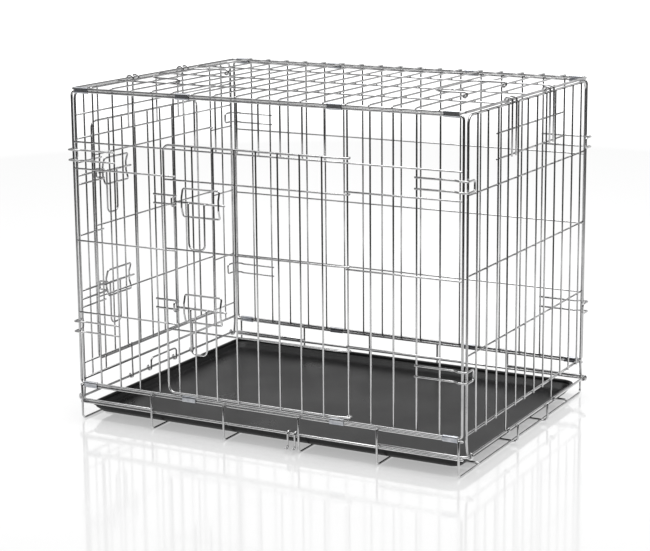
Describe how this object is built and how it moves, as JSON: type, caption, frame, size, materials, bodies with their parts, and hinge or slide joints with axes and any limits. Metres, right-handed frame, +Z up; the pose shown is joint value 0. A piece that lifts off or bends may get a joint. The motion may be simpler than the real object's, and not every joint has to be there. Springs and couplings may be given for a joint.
{
  "type": "folding wire dog crate",
  "caption": "Folding wire dog crate with a side door, an end door, slide-bolt latches, carry bails and a slide-out tray.",
  "frame": {"origin": "centre of the crate's bounding box, on the floor", "axes": "+X along the long side, away from the end door; +Y to the back, away from the side door; +Z up"},
  "size_m": [0.8198, 0.588, 0.6293],
  "materials": {
    "zinc_wire": "bright zinc-plated wire",
    "clip_sheet": "bluish zinc-plated sheet",
    "tray_plastic": "satin moulded black"
  },
  "bodies": {
    "cage": {"back_panel": "zinc_wire", "base_back_flange_wire": "zinc_wire", "base_back_lower_flange_wire": "zinc_wire", "base_back_middle_floor_wire": "zinc_wire", "base_back_outer_floor_wire": "zinc_wire", "base_cross_wire_1": "zinc_wire", "base_cross_wire_2": "zinc_wire", "base_cross_wire_3": "zinc_wire", "base_cross_wire_4": "zinc_wire", "base_cross_wire_5": "zinc_wire", "base_cross_wire_6": "zinc_wire", "base_front_flange_wire": "zinc_wire", "base_front_lower_flange_wire": "zinc_wire", "base_front_middle_floor_wire": "zinc_wire", "base_front_outer_floor_wire": "zinc_wire", "base_left_end_wire": "zinc_wire", "base_right_end_wire": "zinc_wire", "bottom_back_clip_1": "clip_sheet", "bottom_back_clip_2": "clip_sheet", "bottom_back_clip_3": "clip_sheet", "bottom_back_clip_4": "clip_sheet", "bottom_front_clip_1": "clip_sheet", "bottom_front_clip_2": "clip_sheet", "bottom_front_clip_3": "clip_sheet", "bottom_front_clip_4": "clip_sheet", "front_panel": "zinc_wire", "top_back_clip_1": "clip_sheet", "top_back_clip_2": "clip_sheet", "top_back_clip_3": "clip_sheet", "top_back_clip_4": "clip_sheet", "top_front_clip_1": "clip_sheet", "top_front_clip_2": "clip_sheet", "top_front_clip_3": "clip_sheet", "top_front_clip_4": "clip_sheet", "top_panel": "zinc_wire"},
    "side_door": {"side_door": "zinc_wire", "side_door_lower_latch_guide": "zinc_wire", "side_door_upper_latch_guide": "zinc_wire"},
    "side_door_lower_bolt": {"side_door_lower_bolt": "zinc_wire"},
    "side_door_lower_handle": {"side_door_lower_handle": "zinc_wire"},
    "side_door_upper_bolt": {"side_door_upper_bolt": "zinc_wire"},
    "side_door_upper_handle": {"side_door_upper_handle": "zinc_wire"},
    "end_door": {"end_door": "zinc_wire", "end_door_lower_latch_guide": "zinc_wire", "end_door_upper_latch_guide": "zinc_wire"},
    "end_door_lower_bolt": {"end_door_lower_bolt": "zinc_wire"},
    "end_door_lower_handle": {"end_door_lower_handle": "zinc_wire"},
    "end_door_upper_bolt": {"end_door_upper_bolt": "zinc_wire"},
    "end_door_upper_handle": {"end_door_upper_handle": "zinc_wire"},
    "left_end_panel": {"left_end_panel": "zinc_wire", "left_front_top_hook": "zinc_wire", "left_back_top_hook": "zinc_wire"},
    "left_carry_bail": {"left_carry_bail": "zinc_wire"},
    "right_end_panel": {"right_end_panel": "zinc_wire", "right_front_top_hook": "zinc_wire", "right_back_top_hook": "zinc_wire"},
    "right_carry_bail": {"right_carry_bail": "zinc_wire"},
    "tray": {"tray": "tray_plastic"},
    "tray_gate": {"tray_gate": "zinc_wire"},
    "lock_hook": {"lock_hook": "zinc_wire"}
  },
  "joints": [
    {"name": "tray_slide", "type": "slide", "parent": "cage", "child": "tray", "axis": [-1, 0, 0], "range_m": [0, 0.78]},
    {"name": "tray_gate_hinge", "type": "hinge", "parent": "cage", "child": "tray_gate", "pos_m": [-0.39332, 0.00622, 0.03771], "axis": [0, 1, 0], "range_deg": [-180, 0]},
    {"name": "right_carry_bail_hinge", "type": "hinge", "parent": "cage", "child": "right_carry_bail", "pos_m": [0.30708, 0.00622, 0.62291], "axis": [0, 1, 0], "range_deg": [0, 160]},
    {"name": "left_carry_bail_hinge", "type": "hinge", "parent": "cage", "child": "left_carry_bail", "pos_m": [-0.25452, -0.03878, 0.62291], "axis": [0, 1, 0], "range_deg": [0, 160]},
    {"name": "lock_hook_hinge", "type": "hinge", "parent": "cage", "child": "lock_hook", "pos_m": [0.06668, -0.27458, 0.03281], "axis": [-1, 0, 0], "range_deg": [0, 100]},
    {"name": "side_door_hinge", "type": "hinge", "parent": "cage", "child": "side_door", "pos_m": [0.17748, -0.27138, 0.06981], "axis": [0, 0, -1], "range_deg": [-150, 0]},
    {"name": "end_door_hinge", "type": "hinge", "parent": "left_end_panel", "child": "end_door", "pos_m": [-0.38972, 0.20062, 0.06981], "axis": [0, 0, 1], "range_deg": [-150, 0]},
    {"name": "side_door_lower_bolt_slide", "type": "slide", "parent": "side_door", "child": "side_door_lower_bolt", "axis": [-1, 0, 0], "range_m": [-0.016, 0.01]},
    {"name": "side_door_lower_handle_hinge", "type": "hinge", "parent": "side_door_lower_bolt", "child": "side_door_lower_handle", "pos_m": [-0.16132, -0.28638, 0.24031], "axis": [-1, 0, 0], "range_deg": [0, 125]},
    {"name": "side_door_upper_bolt_slide", "type": "slide", "parent": "side_door", "child": "side_door_upper_bolt", "axis": [-1, 0, 0], "range_m": [-0.016, 0.01]},
    {"name": "side_door_upper_handle_hinge", "type": "hinge", "parent": "side_door_upper_bolt", "child": "side_door_upper_handle", "pos_m": [-0.16132, -0.28638, 0.43181], "axis": [-1, 0, 0], "range_deg": [0, 125]},
    {"name": "end_door_lower_bolt_slide", "type": "slide", "parent": "end_door", "child": "end_door_lower_bolt", "axis": [0, -1, 0], "range_m": [-0.016, 0.01]},
    {"name": "end_door_lower_handle_hinge", "type": "hinge", "parent": "end_door_lower_bolt", "child": "end_door_lower_handle", "pos_m": [-0.40222, -0.17428, 0.23281], "axis": [0, 1, 0], "range_deg": [0, 125]},
    {"name": "end_door_upper_bolt_slide", "type": "slide", "parent": "end_door", "child": "end_door_upper_bolt", "axis": [0, -1, 0], "range_m": [-0.016, 0.01]},
    {"name": "end_door_upper_handle_hinge", "type": "hinge", "parent": "end_door_upper_bolt", "child": "end_door_upper_handle", "pos_m": [-0.40222, -0.17428, 0.44881], "axis": [0, 1, 0], "range_deg": [0, 125]},
    {"name": "left_end_panel_fold", "type": "hinge", "parent": "cage", "child": "left_end_panel", "pos_m": [-0.39332, 0.00622, 0.03771], "axis": [0, 1, 0], "range_deg": [0, 84], "deforming": ["left_front_top_hook", "left_back_top_hook"]},
    {"name": "right_end_panel_fold", "type": "hinge", "parent": "cage", "child": "right_end_panel", "pos_m": [0.40268, 0.00622, 0.03771], "axis": [0, -1, 0], "range_deg": [0, 90], "deforming": ["right_front_top_hook", "right_back_top_hook"]}
  ]
}
